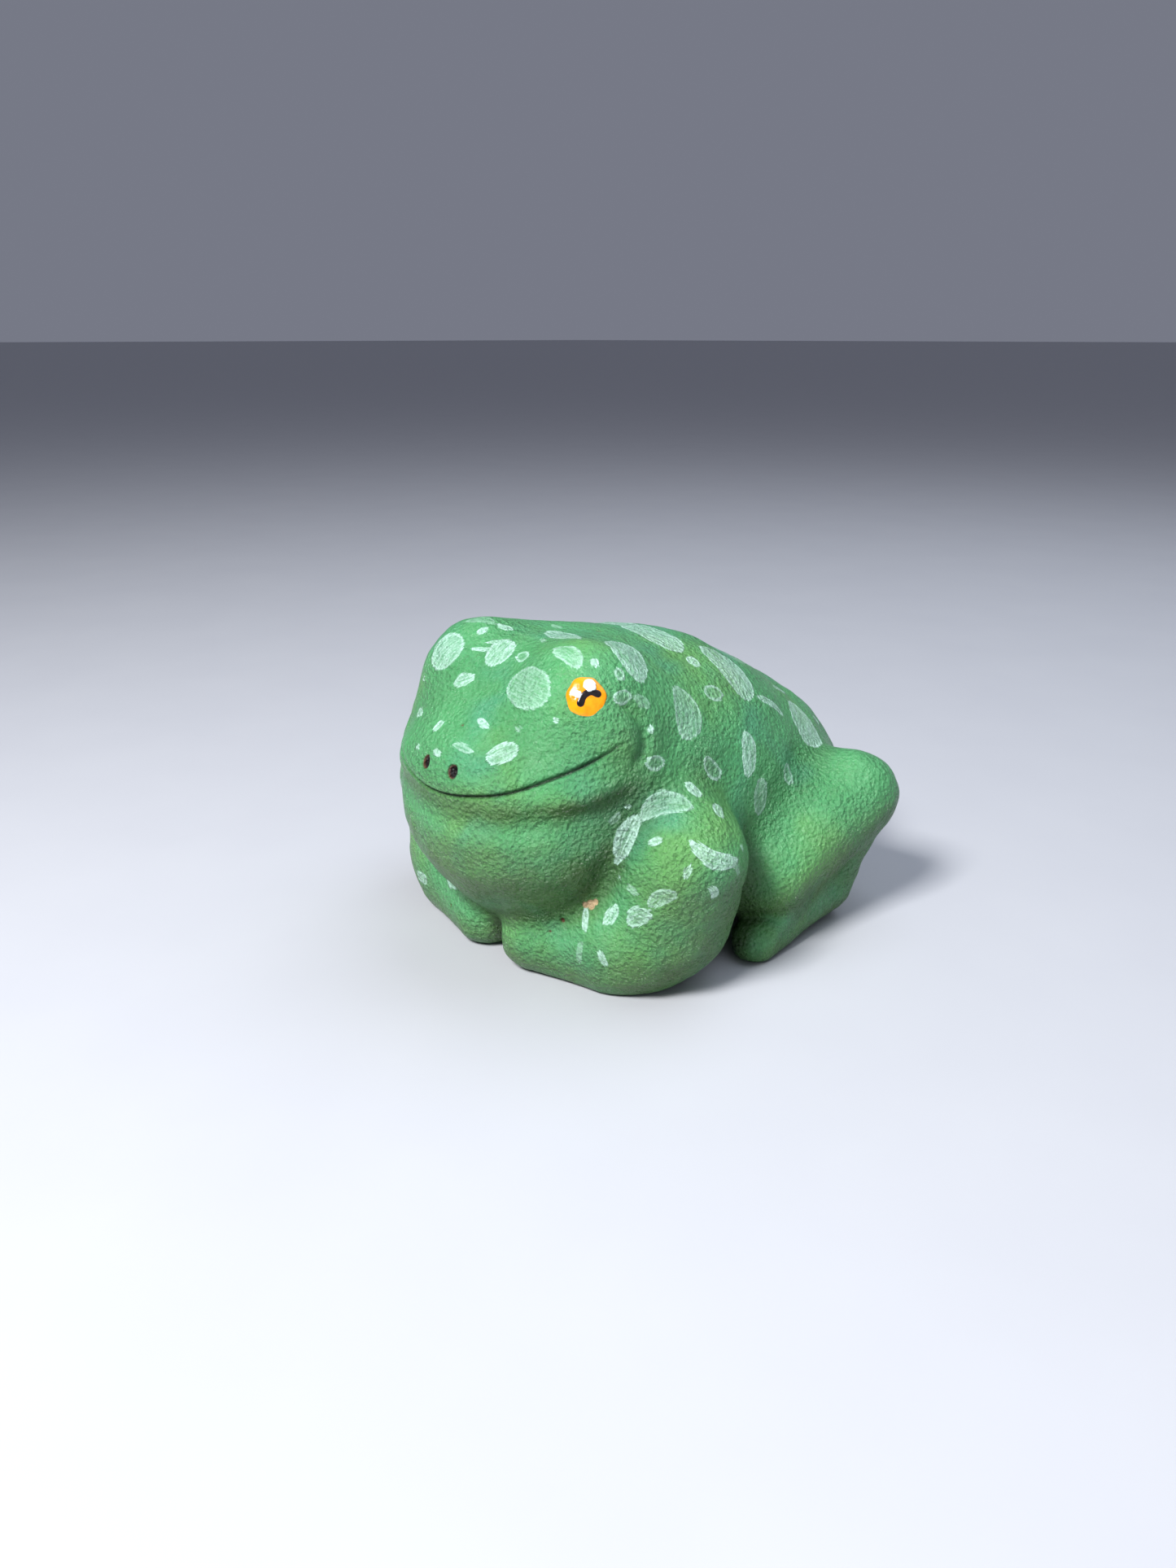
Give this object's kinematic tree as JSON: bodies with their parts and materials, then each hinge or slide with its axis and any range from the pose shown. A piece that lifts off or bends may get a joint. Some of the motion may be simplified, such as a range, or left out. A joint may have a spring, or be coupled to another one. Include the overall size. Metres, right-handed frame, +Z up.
{
  "type": "frog figurine",
  "caption": "Crouching frog figurine: a one-piece hand-painted casting with a flat base, a wide smiling mouth and glossy painted eyes.",
  "frame": {"origin": "middle of the base's outline, on the surface the frog stands on", "axes": "+Z up, -Y the way the nose points, +X the frog's left side"},
  "size_m": [0.1622, 0.1818, 0.1124],
  "materials": {
    "green_paint": "semi-gloss acrylic paint over a grained casting",
    "orange_paint": "thick gloss paint",
    "black_paint": "thick gloss paint",
    "white_paint": "thick gloss paint"
  },
  "bodies": {
    "root": {"body_casting": "green_paint", "iris_left": "orange_paint", "pupil_left": "black_paint", "big_glint_left": "white_paint", "small_glint_left": "white_paint", "iris_right": "orange_paint", "pupil_right": "black_paint", "big_glint_right": "white_paint", "small_glint_right": "white_paint"}
  },
  "joints": []
}
